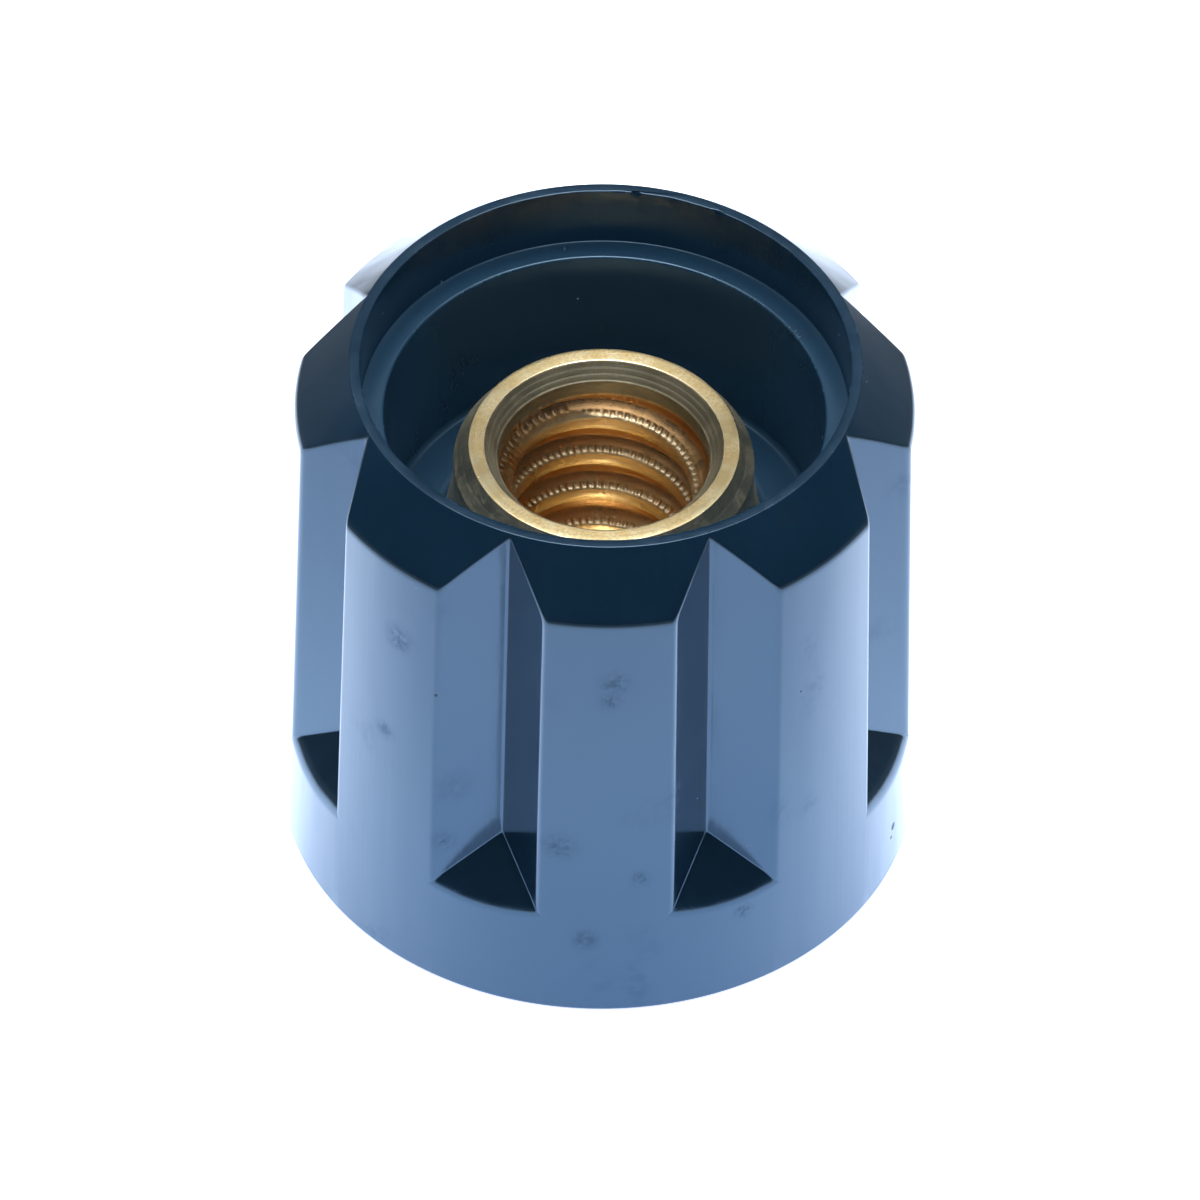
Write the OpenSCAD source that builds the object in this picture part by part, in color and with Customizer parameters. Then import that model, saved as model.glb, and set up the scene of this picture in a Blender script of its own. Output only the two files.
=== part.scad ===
// Steam knob: a moulded eight lobed hand knob with a threaded brass insert standing in its cup.
// It rests face down, so the closed front face lies at z = 0 and the cup opens upwards.
// Millimetres, +Z up. The origin is the centre of the closed front face, on the knob's axis.

/* [Outer body] */
// Diameter of the body at its closed front face
base_diameter = 50; // [46:0.5:60]
// Height from the closed face to the rim of the cup
height = 46.7; // [42:0.1:54]
// Draft of the outer wall in degrees from the axis
outer_draft = 1.1; // [0.5:0.05:2]
// Slope of the cone above the shoulder in degrees from the horizontal
cone_slope = 45; // [35:1:55]
// Radius of the rounded shoulder between wall and cone
shoulder_round = 1; // [0.3:0.1:2]
// Radius of the rounded edge of the closed face
foot_round = 0.3; // [0.2:0.1:2]

/* [Grip flutes] */
// Number of lobes, and of the flutes between them
flute_count = 8; // [6:1:10]
// Depth of a flute below the outer wall, along the whole valley
flute_depth = 3.98; // [2.5:0.02:4.5]
// Half of the angle between the two sides of a flute
flute_half_angle = 50.8; // [45:0.2:60]
// Height at which the valley of a flute meets its end facet
flute_end_height = 14.3; // [10:0.1:22]
// Slope of the end facet in degrees from the horizontal
end_facet_slope = 46; // [35:1:60]

/* [Cup] */
// Thickness left between a flute's valley and the mouth of the cup, at the rim
valley_wall = 1.03; // [0.8:0.01:2]
// Width of the flat rim around the mouth
rim_land = 0.83; // [0.4:0.01:1.2]
// Rounding of the rim's two edges
rim_round = 0.2; // [0.1:0.05:0.3]
// Depth of the wide mouth above the shelf
mouth_depth = 5.4; // [3:0.1:8]
// Width of the shelf between the mouth and the deep part of the cup
shelf_width = 1.9; // [1:0.1:2.5]
// Depth of the cup's floor below the rim
cup_depth = 18.8; // [16:0.1:22]
// Draft of the deep wall of the cup in degrees
cup_draft = 1.2; // [0.5:0.1:2]
// Radius of the round between the cup's wall and floor
floor_round = 0.5; // [0.3:0.1:1.6]

/* [Insert outside] */
// Height of the insert's top face above the floor of the cup
insert_stand = 9.9; // [8.5:0.1:12]
// Length of the insert, the moulded-in part included
insert_length = 28.6; // [26:0.1:30]
// Diameter of the round collar below the insert's chamfers
collar_diameter = 23.5; // [22.8:0.1:24]
// Depth of the collar's lower end below the top face
collar_depth = 4.4; // [3.5:0.1:5.5]
// Flare of the insert below the collar in degrees from the axis
flare_angle = 10; // [4:0.5:12]
// Length of the straight flange that holds the flare in the moulding
flange_length = 1.5; // [0.8:0.1:2.5]
// Number of teeth of the straight knurl in the moulding
knurl_teeth = 30; // [20:1:36]
// Depth of the knurl's teeth
knurl_depth = 0.6; // [0.3:0.1:0.8]
// Length of the knurled band
knurl_length = 9; // [6:0.5:10]

/* [Insert bore] */
// Diameter of the plain wall at the crests of the thread
bore_diameter = 14; // [13:0.1:15]
// Diameter of the plain counterbore above the thread
lead_diameter = 16.72; // [16.2:0.02:17.2]
// Length of the plain counterbore
lead_length = 1.35; // [0.8:0.05:2]
// Depth of the chamfer at the mouth of the bore
mouth_chamfer_depth = 1.35; // [0.8:0.05:2]
// Width of the chamfer at the mouth of the bore
mouth_chamfer_width = 0.96; // [0.6:0.02:1.1]
// Depth of the bore's full width below the insert's top face
bore_depth = 22.1; // [18:0.1:23]
// Angle of the drilled cone at the bottom of the bore
drill_angle = 118; // [90:1:140]

/* [Hidden] */
$fn = 96;
arc_steps = 4;
clear = 1;

// Outer wall, cone and rim
base_r = base_diameter / 2;
wall_fall = tan(outer_draft);
valley_r = base_r - flute_depth;
mouth_r = valley_r - height * wall_fall - valley_wall;
rim_r = mouth_r + rim_land;
cone_run = 1 / tan(cone_slope);
shoulder_z = (rim_r + height * cone_run - base_r) / (cone_run - wall_fall);
shoulder_r = base_r - shoulder_z * wall_fall;

// Cup
shelf_z = height - mouth_depth;
floor_z = height - cup_depth;
cup_top_r = mouth_r - shelf_width;
cup_floor_r = cup_top_r - (shelf_z - floor_z) * tan(cup_draft);

// Insert outside, from the top down
insert_top_z = floor_z + insert_stand;
insert_bottom_z = insert_top_z - insert_length;
collar_r = collar_diameter / 2;
top_chamfer_width = 0.52;
top_chamfer_depth = 1;
side_chamfer_width = 0.64;
side_chamfer_depth = 0.8;
insert_top_r = collar_r - side_chamfer_width - top_chamfer_width;
collar_bottom_z = insert_top_z - collar_depth;
flange_r = collar_r + (collar_bottom_z - floor_z) * tan(flare_angle);
flange_bottom_z = floor_z - flange_length;
neck_length = 2.5;
neck_r = collar_r - 1;
knurl_r = collar_r + 0.5;
knurl_top_z = flange_bottom_z - neck_length;
knurl_bottom_z = knurl_top_z - knurl_length;
tail_r = knurl_r - knurl_depth - 0.4;
tail_chamfer = 0.8;

// Insert bore
bore_r = bore_diameter / 2;
lead_r = lead_diameter / 2;
lead_top_z = insert_top_z - mouth_chamfer_depth;
lead_bottom_z = lead_top_z - lead_length;
bore_top_z = lead_bottom_z - (lead_r - bore_r);
bore_bottom_z = insert_top_z - bore_depth;
drill_tip_z = bore_bottom_z - bore_r / tan(drill_angle / 2);

// Points of a fillet that rounds the corner b of the path a, b, c
function unit(v) = v / norm(v);
function turn(a, b, c) = acos(unit(a - b) * unit(c - b));
function cross_z(u, v) = u[0] * v[1] - u[1] * v[0];
function rounded(a, b, c, r) =
    let (
        half = turn(a, b, c) / 2,
        centre = b + unit(unit(a - b) + unit(c - b)) * r / sin(half),
        from = b + unit(a - b) * r / tan(half) - centre,
        sweep = sign(cross_z(b - a, c - b)) * (180 - 2 * half)
    )
    [
        for (i = [0 : arc_steps])
            let (t = sweep * i / arc_steps)
            centre + [from[0] * cos(t) - from[1] * sin(t), from[0] * sin(t) + from[1] * cos(t)]
    ];

module body_profile() {
    axis_foot = [0, 0];
    foot = [base_r, 0];
    shoulder = [shoulder_r, shoulder_z];
    rim_outside = [rim_r, height];
    rim_inside = [mouth_r, height];
    shelf_outside = [mouth_r, shelf_z];
    shelf_inside = [cup_top_r, shelf_z];
    floor_corner = [cup_floor_r, floor_z];
    floor_centre = [0, floor_z];
    polygon(concat(
        [axis_foot],
        rounded(axis_foot, foot, shoulder, foot_round),
        rounded(foot, shoulder, rim_outside, shoulder_round),
        rounded(shoulder, rim_outside, rim_inside, rim_round),
        rounded(rim_outside, rim_inside, shelf_outside, rim_round),
        [shelf_outside],
        rounded(shelf_outside, shelf_inside, floor_corner, rim_round),
        rounded(shelf_inside, floor_corner, floor_centre, floor_round),
        [floor_centre]
    ));
}

// One V shaped flute along +X, whose valley leans inwards like the outer wall and ends in a flat facet
module flute() {
    reach = 2 * flute_depth + clear;
    spread = reach * tan(flute_half_angle);
    length = height + 2 * clear;
    end_r = valley_r - flute_end_height * wall_fall;
    difference() {
        translate([valley_r, 0, 0])
            rotate([0, -outer_draft, 0])
                linear_extrude(height = length)
                    polygon([[0, 0], [reach, spread], [reach, -spread]]);
        translate([end_r, 0, flute_end_height])
            rotate([0, end_facet_slope, 0])
                translate([-length, -2 * spread, -length])
                    cube([2 * length, 4 * spread, length]);
    }
}

// The insert's outside without its bore, which also shapes the moulding around it
module insert_outline() {
    rotate_extrude()
        polygon([
            [0, insert_bottom_z],
            [tail_r - tail_chamfer, insert_bottom_z],
            [tail_r, insert_bottom_z + tail_chamfer],
            [tail_r, knurl_bottom_z],
            [neck_r, knurl_bottom_z],
            [neck_r, flange_bottom_z],
            [flange_r, flange_bottom_z],
            [flange_r, floor_z],
            [collar_r, collar_bottom_z],
            [collar_r, insert_top_z - top_chamfer_depth - side_chamfer_depth],
            [collar_r - side_chamfer_width, insert_top_z - top_chamfer_depth],
            [insert_top_r, insert_top_z],
            [0, insert_top_z]
        ]);
    translate([0, 0, knurl_bottom_z])
        linear_extrude(height = knurl_length)
            polygon([
                for (i = [0 : 2 * knurl_teeth - 1])
                    let (
                        r = knurl_r - (i % 2) * knurl_depth,
                        angle = i * 180 / knurl_teeth
                    )
                    [r * cos(angle), r * sin(angle)]
            ]);
}

module insert_bore() {
    rotate_extrude()
        polygon([
            [0, drill_tip_z],
            [bore_r, bore_bottom_z],
            [bore_r, bore_top_z],
            [lead_r, lead_bottom_z],
            [lead_r, lead_top_z],
            [lead_r + mouth_chamfer_width, insert_top_z],
            [lead_r + mouth_chamfer_width, insert_top_z + clear],
            [0, insert_top_z + clear]
        ]);
}

module knob_body() {
    color([0.07, 0.13, 0.26])
        difference() {
            rotate_extrude() body_profile();
            for (i = [0 : flute_count - 1])
                rotate([0, 0, (i + 0.5) * 360 / flute_count]) flute();
            insert_outline();
        }
}

module threaded_insert() {
    color([0.78, 0.63, 0.34])
        difference() {
            insert_outline();
            insert_bore();
        }
}

knob_body();
threaded_insert();
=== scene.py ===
import math

import bmesh
import bpy
import numpy as np
from mathutils import Matrix, Vector


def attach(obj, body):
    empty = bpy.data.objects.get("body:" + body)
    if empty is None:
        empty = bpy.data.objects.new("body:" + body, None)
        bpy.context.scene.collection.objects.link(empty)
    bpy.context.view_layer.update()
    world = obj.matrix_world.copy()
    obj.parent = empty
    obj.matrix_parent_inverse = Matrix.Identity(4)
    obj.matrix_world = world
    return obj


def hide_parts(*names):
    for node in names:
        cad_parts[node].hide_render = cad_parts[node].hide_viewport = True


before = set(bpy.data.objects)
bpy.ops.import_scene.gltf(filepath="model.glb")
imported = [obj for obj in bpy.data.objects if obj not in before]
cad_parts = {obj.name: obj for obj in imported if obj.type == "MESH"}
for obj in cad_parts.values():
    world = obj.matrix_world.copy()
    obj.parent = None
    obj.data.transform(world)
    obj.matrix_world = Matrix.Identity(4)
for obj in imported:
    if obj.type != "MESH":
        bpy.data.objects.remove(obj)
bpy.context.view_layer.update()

# Sizes in millimetres, as the CAD has them, but for the rounds of the shoulder and the rim
MM = 0.001
BASE_RADIUS = 25.0
HEIGHT = 46.7
WALL_DRAFT = math.radians(1.1)
SHOULDER_ROUND = 1.5
FOOT_ROUND = 0.3

FLUTES = 8
FLUTE_DEPTH = 3.98
FLUTE_HALF_ANGLE = math.radians(50.8)
FLUTE_END_HEIGHT = 14.3
END_FACET_SLOPE = math.radians(46.0)
FLUTE_FOOT_Z = FLUTE_END_HEIGHT - FLUTE_DEPTH * math.tan(END_FACET_SLOPE)

VALLEY_WALL = 1.03
RIM_LAND = 0.83
RIM_ROUND = 0.1
LIP_ROUND = 0.2
MOUTH_DEPTH = 5.4
SHELF_WIDTH = 1.9
CUP_DEPTH = 18.8
CUP_DRAFT = math.radians(1.2)
FLOOR_ROUND = 0.5

WALL_FALL = math.tan(WALL_DRAFT)
VALLEY_RADIUS = BASE_RADIUS - FLUTE_DEPTH
MOUTH_RADIUS = VALLEY_RADIUS - HEIGHT * WALL_FALL - VALLEY_WALL
RIM_RADIUS = MOUTH_RADIUS + RIM_LAND
SHOULDER_Z = (RIM_RADIUS + HEIGHT - BASE_RADIUS) / (1 - WALL_FALL)
SHOULDER_RADIUS = BASE_RADIUS - SHOULDER_Z * WALL_FALL
SHELF_Z = HEIGHT - MOUTH_DEPTH
FLOOR_Z = HEIGHT - CUP_DEPTH
CUP_TOP_RADIUS = MOUTH_RADIUS - SHELF_WIDTH
CUP_FLOOR_RADIUS = CUP_TOP_RADIUS - (SHELF_Z - FLOOR_Z) * math.tan(CUP_DRAFT)

# Softened edges of the moulding. A valley is rounded over angles whose sine is VALLEY_SOFTNESS.
LOBE_EDGE_BLEND = 0.32
FACET_EDGE_BLEND = 0.7
INNER_CORNER_BLEND = 0.1
SHELF_CORNER_ROUND = 0.1
VALLEY_SOFTNESS = 0.004

# The insert, from the top down
INSERT_TOP_Z = FLOOR_Z + 9.9
INSERT_BOTTOM_Z = INSERT_TOP_Z - 28.6
COLLAR_RADIUS = 11.75
COLLAR_BOTTOM_Z = INSERT_TOP_Z - 4.4
TOP_CHAMFER = (0.52, 1.0)
SIDE_CHAMFER = (0.64, 0.8)
FLARE = math.radians(10.0)
FLANGE_RADIUS = COLLAR_RADIUS + (COLLAR_BOTTOM_Z - FLOOR_Z) * math.tan(FLARE)
FLANGE_BOTTOM_Z = FLOOR_Z - 1.5
NECK_RADIUS = COLLAR_RADIUS - 1.0
KNURL_RADIUS = COLLAR_RADIUS + 0.5
KNURL_DEPTH = 0.6
KNURL_TEETH = 30
KNURL_TOP_Z = FLANGE_BOTTOM_Z - 2.5
KNURL_BOTTOM_Z = KNURL_TOP_Z - 9.0
TAIL_RADIUS = KNURL_RADIUS - KNURL_DEPTH - 0.4
TAIL_CHAMFER = 0.8

# The bore and its right-hand thread
MOUTH_CHAMFER = (0.96, 1.35)
LEAD_RADIUS = 8.36
LEAD_TOP_Z = INSERT_TOP_Z - MOUTH_CHAMFER[1]
LEAD_BOTTOM_Z = LEAD_TOP_Z - 1.35
CREST_RADIUS = 7.0
BORE_TOP_Z = LEAD_BOTTOM_Z - (LEAD_RADIUS - CREST_RADIUS)
BORE_BOTTOM_Z = INSERT_TOP_Z - 22.1
DRILL_HALF_ANGLE = math.radians(59.0)
DRILL_TIP_Z = BORE_BOTTOM_Z - CREST_RADIUS / math.tan(DRILL_HALF_ANGLE)
ROOT_RADIUS = 8.3
THREAD_PITCH = 4.0
CREST_HALF_WIDTH = 0.62
FLANK_RUN = 0.8
# A crest on the far wall: its height, and its place in degrees round from +X
SEEN_CREST_Z, SEEN_CREST_TURN = 29.1, 86.0
CREST_Z_AT_ZERO = SEEN_CREST_Z - THREAD_PITCH * SEEN_CREST_TURN / 360.0
# The turns that are drawn, counted from that crest, and where they run out at the bottom
FIRST_TURN, LAST_TURN = -5, 3
THREAD_END_Z = BORE_BOTTOM_Z + 0.3
THREAD_RUN_OUT = 2.5
MARKS_PER_TURN = 80
MARK_DEPTH = 0.16
MARK_REACH = 0.52
# The tool marks take the worn colour, partly as wear and partly as a painted glint
MARK_WEAR_AND_GLINT = 0.85

# Small edges of the insert, and the bead between the counterbore and the chamfer
LAND_EDGE_ROUND = 0.12
CHAMFER_EDGE_ROUND = 0.1
COLLAR_EDGE_ROUND = 0.15
BURR_RISE = 0.12
# Burrs at least this high take the full worn colour, partly as wear and partly as a painted glint
BURR_WORN_AND_GLINT_FROM = 0.1
BEAD_LENGTH = 0.1
BEAD_HEIGHT = 0.06
# Ridges of the lathe tool as two waves: height, and the angle per step and at the start in radians
LATHE_RIDGES = ((0.018, 2.4, 0.0), (0.014, 1.1, 1.0))

# Burrs at the lower edge of the counterbore: angle and half width in degrees, height in millimetres
LEAD_BURRS = [(142.0, 2.2, 0.13), (137.5, 1.2, 0.08), (133.0, 2.6, 0.15), (127.5, 1.4, 0.07),
              (123.5, 2.0, 0.16), (119.0, 2.4, 0.12), (96.0, 1.2, 0.05)]

# Chips and burrs along the rim's inner edge: angle and half width in degrees, depth in millimetres
RIM_CHIPS = [(81.8, 1.5, 0.15), (86.3, 2.4, 0.07), (74.0, 2.6, 0.06), (61.6, 1.8, 0.13),
             (96.0, 3.4, 0.05), (68.0, 1.2, -0.05), (251.0, 1.6, 0.05), (302.0, 1.3, 0.04)]
# The share of a chip's depth that each row takes, from the rim's top down
CHIP_SHARES = (0.9, 1.0, 1.0, 0.9, 0.7, 0.5, 0.15)
RIM_WAVE = 0.012

# Columns of points round the cup and the insert, and rings of points on the closed face
COLUMNS = 480
FACE_RINGS = (4.0, 12.0, 20.0, 23.6)


# ---- Small helpers for outlines and surfaces

def arc(a, b, c, radius, steps):
    """Points of a fillet of that radius at the corner b of the path a, b, c."""
    a, b, c = (np.array(p, float) for p in (a, b, c))
    u, v = (a - b) / np.linalg.norm(a - b), (c - b) / np.linalg.norm(c - b)
    half = math.acos(float(np.clip(u @ v, -1, 1))) / 2
    centre = b + (u + v) / np.linalg.norm(u + v) * radius / math.sin(half)
    start = b + u * radius / math.tan(half) - centre
    turn = (b - a)[0] * (c - b)[1] - (b - a)[1] * (c - b)[0]
    sweep = math.copysign(math.pi - 2 * half, turn)
    points = []
    for i in range(steps + 1):
        t = sweep * i / steps
        cos, sin = math.cos(t), math.sin(t)
        points.append(tuple(centre + (start[0] * cos - start[1] * sin,
                                      start[0] * sin + start[1] * cos)))
    return points


def along(a, b, steps):
    """Points between a and b, both left out."""
    return [tuple(np.array(a) + (np.array(b) - np.array(a)) * i / steps) for i in range(1, steps)]


def soft_min(a, b, softness):
    """The lower of two surfaces, with their corner rounded where they are closer than the softness."""
    h = np.maximum(softness - np.abs(a - b), 0.0) / softness
    return np.minimum(a, b) - h * h * softness / 4


def soft_max(a, b, softness):
    return -soft_min(-a, -b, softness)


def smooth_step(x, low, high):
    t = np.clip((x - low) / (high - low), 0.0, 1.0)
    return t * t * (3 - 2 * t)


def row_of_points(radius, angles, z, wear=0.0):
    """Points of one row as x, y, z and how far the point lies on an edge that wears."""
    flat = np.zeros(len(angles))
    return np.stack([radius * np.cos(angles), radius * np.sin(angles), flat + z, flat + wear], 1)


def ring_rows(outline, angles):
    """Rows of points of a turned surface: one ring of points for each (radius, height)."""
    return [row_of_points(np.full(len(angles), r), angles, z) for r, z in outline]


def piece_from_rows(name, rows, first_z, last_z, corners):
    """A closed mesh object from rings of points, with a single point on the axis at each end."""
    count = len(rows[0])
    points = np.concatenate([[(0, 0, first_z, 0)], *rows, [(0, 0, last_z, 0)]])
    last = len(points) - 1
    faces = []
    for i in range(count):
        j = (i + 1) % count
        faces.append((0, 1 + j, 1 + i))
        for k in range(len(rows) - 1):
            low, high = 1 + k * count, 1 + (k + 1) * count
            faces.append((low + i, low + j, high + j, high + i))
        top = 1 + (len(rows) - 1) * count
        faces.append((top + i, top + j, last))
    return mesh_object(name, points, faces, corners)


def corner_wear(points, corners, reach=0.34):
    """How close each point lies to one of the turned corners, given as (radius, height)."""
    radius, wear = np.hypot(points[:, 0], points[:, 1]), points[:, 3]
    for r, z in corners:
        wear = np.maximum(wear, 1 - np.hypot(radius - r, points[:, 2] - z) / reach)
    return np.clip(wear, 0, 1)


def mesh_object(name, points, faces, corners):
    mesh = bpy.data.meshes.new(name)
    mesh.from_pydata([tuple(p) for p in points[:, :3] * MM], [], faces)
    wear = mesh.attributes.new("edge_wear", "FLOAT", "POINT")
    wear.data.foreach_set("value", corner_wear(points, corners).astype(np.float32))
    work = bmesh.new()
    work.from_mesh(mesh)
    bmesh.ops.remove_doubles(work, verts=work.verts, dist=1e-7)
    bmesh.ops.recalc_face_normals(work, faces=work.faces)
    for face in work.faces:
        face.smooth = True
    work.to_mesh(mesh)
    work.free()
    piece = bpy.data.objects.new(name, mesh)
    bpy.context.scene.collection.objects.link(piece)
    weighted = piece.modifiers.new("even_light_on_flats", "WEIGHTED_NORMAL")
    weighted.mode = "FACE_AREA"
    weighted.weight = 50
    return piece


# ---- The moulding: a drafted round body with eight V flutes that run out in flat facets

def flute_angles(radius, z):
    """Angles from a flute's centre of its inner corner and of its edge with the wall."""
    tan = math.tan(FLUTE_HALF_ANGLE)
    valley = VALLEY_RADIUS - WALL_FALL * z
    facet = max(facet_distance(z), valley)
    inner = math.atan2(tan * (facet - valley), facet)
    reach = max(radius, valley + 1e-4)
    root = math.sqrt(reach ** 2 * (1 + tan ** 2) - (tan * valley) ** 2)
    x = (tan ** 2 * valley + root) / (1 + tan ** 2)
    return inner, math.atan2(tan * (x - valley), x)


def facet_distance(z):
    end = VALLEY_RADIUS - WALL_FALL * FLUTE_END_HEIGHT
    return end + (FLUTE_END_HEIGHT - z) / math.tan(END_FACET_SLOPE)


def half_flute_columns(radius, z):
    """Angles of the columns from a flute's centre to the middle of a lobe, close together at the edges."""
    half = math.pi / FLUTES
    inner, edge = flute_angles(radius, max(z, FLUTE_FOOT_Z + 0.2))
    inner = min(inner, edge)
    # Half widths in radians of the close bands at the inner corner and at the edge, and the least step
    narrow, wide, least = 0.012, 0.02, 0.0012
    stops = [0.0, max(inner - narrow, 0.0015), inner + narrow, edge - wide, edge + wide, half]
    shares = [5, 5, 5, 7, 8]
    for i in range(1, 5):
        stops[i] = max(stops[i], stops[i - 1] + least)
    for i in range(4, 0, -1):
        stops[i] = min(stops[i], stops[i + 1] - least)
    angles = [0.0]
    for i, share in enumerate(shares):
        angles += list(np.linspace(stops[i], stops[i + 1], share + 1)[1:])
    return np.array(angles)


def body_columns(radius, z):
    """All column angles of one row, with each column's angle from its own flute's centre."""
    half = half_flute_columns(radius, z)
    near = np.concatenate([-half[:0:-1], half[:-1]])
    step = 2 * math.pi / FLUTES
    angles = np.concatenate([near + (i + 0.5) * step for i in range(FLUTES)])
    return angles, np.abs(np.tile(near, FLUTES))


def body_row(radius, z):
    angles, off = body_columns(radius, z)
    tan = math.tan(FLUTE_HALF_ANGLE)
    valley = VALLEY_RADIUS - WALL_FALL * z
    side = np.sqrt(np.sin(off) ** 2 + VALLEY_SOFTNESS ** 2)
    v_cut = valley / (np.cos(off) - side / tan)
    facet = facet_distance(z) / np.cos(off)
    cut = soft_max(v_cut, facet, INNER_CORNER_BLEND)
    softness = np.where(facet > v_cut, FACET_EDGE_BLEND, LOBE_EDGE_BLEND)
    r = soft_min(np.full(len(off), radius), cut, softness)
    wear = np.maximum(softness - np.abs(radius - cut), 0.0) / softness
    return row_of_points(r, angles, z, wear)


def outside_outline():
    """Radius and height of the outer wall, from the foot's round to the rim's outer round."""
    foot, shoulder = (BASE_RADIUS, 0.0), (SHOULDER_RADIUS, SHOULDER_Z)
    rim, inside = (RIM_RADIUS, HEIGHT), (MOUTH_RADIUS, HEIGHT)
    points = arc((0.0, 0.0), foot, shoulder, FOOT_ROUND, 8)
    # The rows lie close together at the feet of the end facets and at their tops
    heights = list(np.linspace(2.0, 9.2, 5)) + list(np.arange(9.5, 11.4, 0.08))
    heights += list(np.arange(11.5, 13.8, 0.2)) + list(np.arange(13.9, 14.6, 0.07))
    heights += [14.8, 15.4, 17.0] + list(np.linspace(20.0, 40.0, 6)) + [41.3]
    points += [(BASE_RADIUS - WALL_FALL * z, z) for z in heights]
    points += arc(foot, shoulder, rim, SHOULDER_ROUND, 12)
    start, end = points[-1], arc(shoulder, rim, inside, RIM_ROUND, 5)
    points += along(start, end[0], 18)[:-1]
    last = points[-1]
    points += along(last, end[0], 7) + end
    return points


def cup_outline():
    """The rim's inner round, the mouth, shelf, deep wall and floor, down into the insert's seat."""
    rim, inside = (RIM_RADIUS, HEIGHT), (MOUTH_RADIUS, HEIGHT)
    shelf, lip = (MOUTH_RADIUS, SHELF_Z), (CUP_TOP_RADIUS, SHELF_Z)
    corner, middle = (CUP_FLOOR_RADIUS, FLOOR_Z), (0.0, FLOOR_Z)
    points = arc(rim, inside, shelf, RIM_ROUND, 5)
    points += along(points[-1], (MOUTH_RADIUS, SHELF_Z + 0.12), 5)
    points += arc(inside, shelf, lip, SHELF_CORNER_ROUND, 3)
    points += along(points[-1], (CUP_TOP_RADIUS + 0.25, SHELF_Z), 3)
    points += arc(shelf, lip, corner, LIP_ROUND, 5)
    points += along(points[-1], (CUP_FLOOR_RADIUS, FLOOR_Z + 2.0), 6)
    points += arc(lip, corner, middle, FLOOR_ROUND, 8)
    points += along(points[-1], (FLANGE_RADIUS, FLOOR_Z), 4)
    return points


def insert_outline():
    """Radius and height of the insert's outside, from the top edge down. Rows of the knurl are marked."""
    top_r = COLLAR_RADIUS - SIDE_CHAMFER[0] - TOP_CHAMFER[0]
    mid_r, mid_z = COLLAR_RADIUS - SIDE_CHAMFER[0], INSERT_TOP_Z - TOP_CHAMFER[1]
    low_z = mid_z - SIDE_CHAMFER[1]
    return [
        (top_r, INSERT_TOP_Z), (mid_r, mid_z), (COLLAR_RADIUS, low_z),
        (COLLAR_RADIUS, COLLAR_BOTTOM_Z), (FLANGE_RADIUS, FLOOR_Z), (FLANGE_RADIUS, FLANGE_BOTTOM_Z),
        (NECK_RADIUS, FLANGE_BOTTOM_Z), (NECK_RADIUS, KNURL_TOP_Z), ("knurl", KNURL_TOP_Z),
        ("knurl", KNURL_BOTTOM_Z), (NECK_RADIUS, KNURL_BOTTOM_Z), (TAIL_RADIUS, KNURL_BOTTOM_Z),
        (TAIL_RADIUS, INSERT_BOTTOM_Z + TAIL_CHAMFER), (TAIL_RADIUS - TAIL_CHAMFER, INSERT_BOTTOM_Z),
    ]


# The point of the insert's outline where it enters the moulding, at the cup's floor
SEAT_START = 4


def knurl_radius(angles):
    """A straight knurl: the radius runs straight from tooth to root and back."""
    share = np.abs((angles * KNURL_TEETH / (2 * math.pi)) % 1.0 - 0.5) * 2
    return KNURL_RADIUS - KNURL_DEPTH * (1 - share)


def seat_rows(angles, first):
    """Rows of the insert's outside from its point number `first` on, which also shape the moulding's seat."""
    rows = []
    for r, z in insert_outline()[first:]:
        radius = knurl_radius(angles) if r == "knurl" else np.full(len(angles), r)
        rows.append(row_of_points(radius, angles, z))
    return rows


def bumps_round(angles, bumps):
    """The size at each angle of a list of bumps, given as angle, half width and height."""
    turn, total = np.degrees(angles) % 360, 0.0
    for middle, half_width, height in bumps:
        off = np.clip(np.abs((turn - middle + 180) % 360 - 180) / half_width, 0, 1)
        total = total + height * (1 - off ** 2) * (0.75 + 0.25 * np.sin(turn * 9))
    return total


def chipped_rim_rows(angles):
    """Rows of the cup, with chips, burrs and a slight waviness along the rim's inner edge."""
    rows = ring_rows(cup_outline(), angles)
    chips = bumps_round(angles, RIM_CHIPS) + RIM_WAVE * np.sin(angles * 37) * np.sin(angles * 11 + 1)
    for k, share in enumerate(CHIP_SHARES):
        radius = np.hypot(rows[k][:, 0], rows[k][:, 1])
        rows[k][:, :2] *= ((radius + chips * share) / radius)[:, None]
    return rows


def make_body():
    columns = body_columns(BASE_RADIUS, 0.0)[0]
    even = np.linspace(0, 2 * math.pi, COLUMNS, endpoint=False) + columns[0]
    rows = ring_rows([(r, 0.0) for r in FACE_RINGS], columns)
    rows += [body_row(r, z) for r, z in outside_outline()]
    rows += chipped_rim_rows(even)
    rows += seat_rows(even, SEAT_START)
    corners = [(BASE_RADIUS, 0.0), (RIM_RADIUS, HEIGHT), (MOUTH_RADIUS, HEIGHT), (CUP_TOP_RADIUS, SHELF_Z)]
    return piece_from_rows("moulded_body", rows, 0.0, INSERT_BOTTOM_Z, corners)


# ---- The insert: a turned sleeve with a counterbore, a lead-in and a coarse thread

def plain_bore_radius(z):
    """Radius of the counterbore, the lead-in cone and the plain bore at height z."""
    return np.clip(CREST_RADIUS + (z - BORE_TOP_Z), CREST_RADIUS, LEAD_RADIUS)


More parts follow.
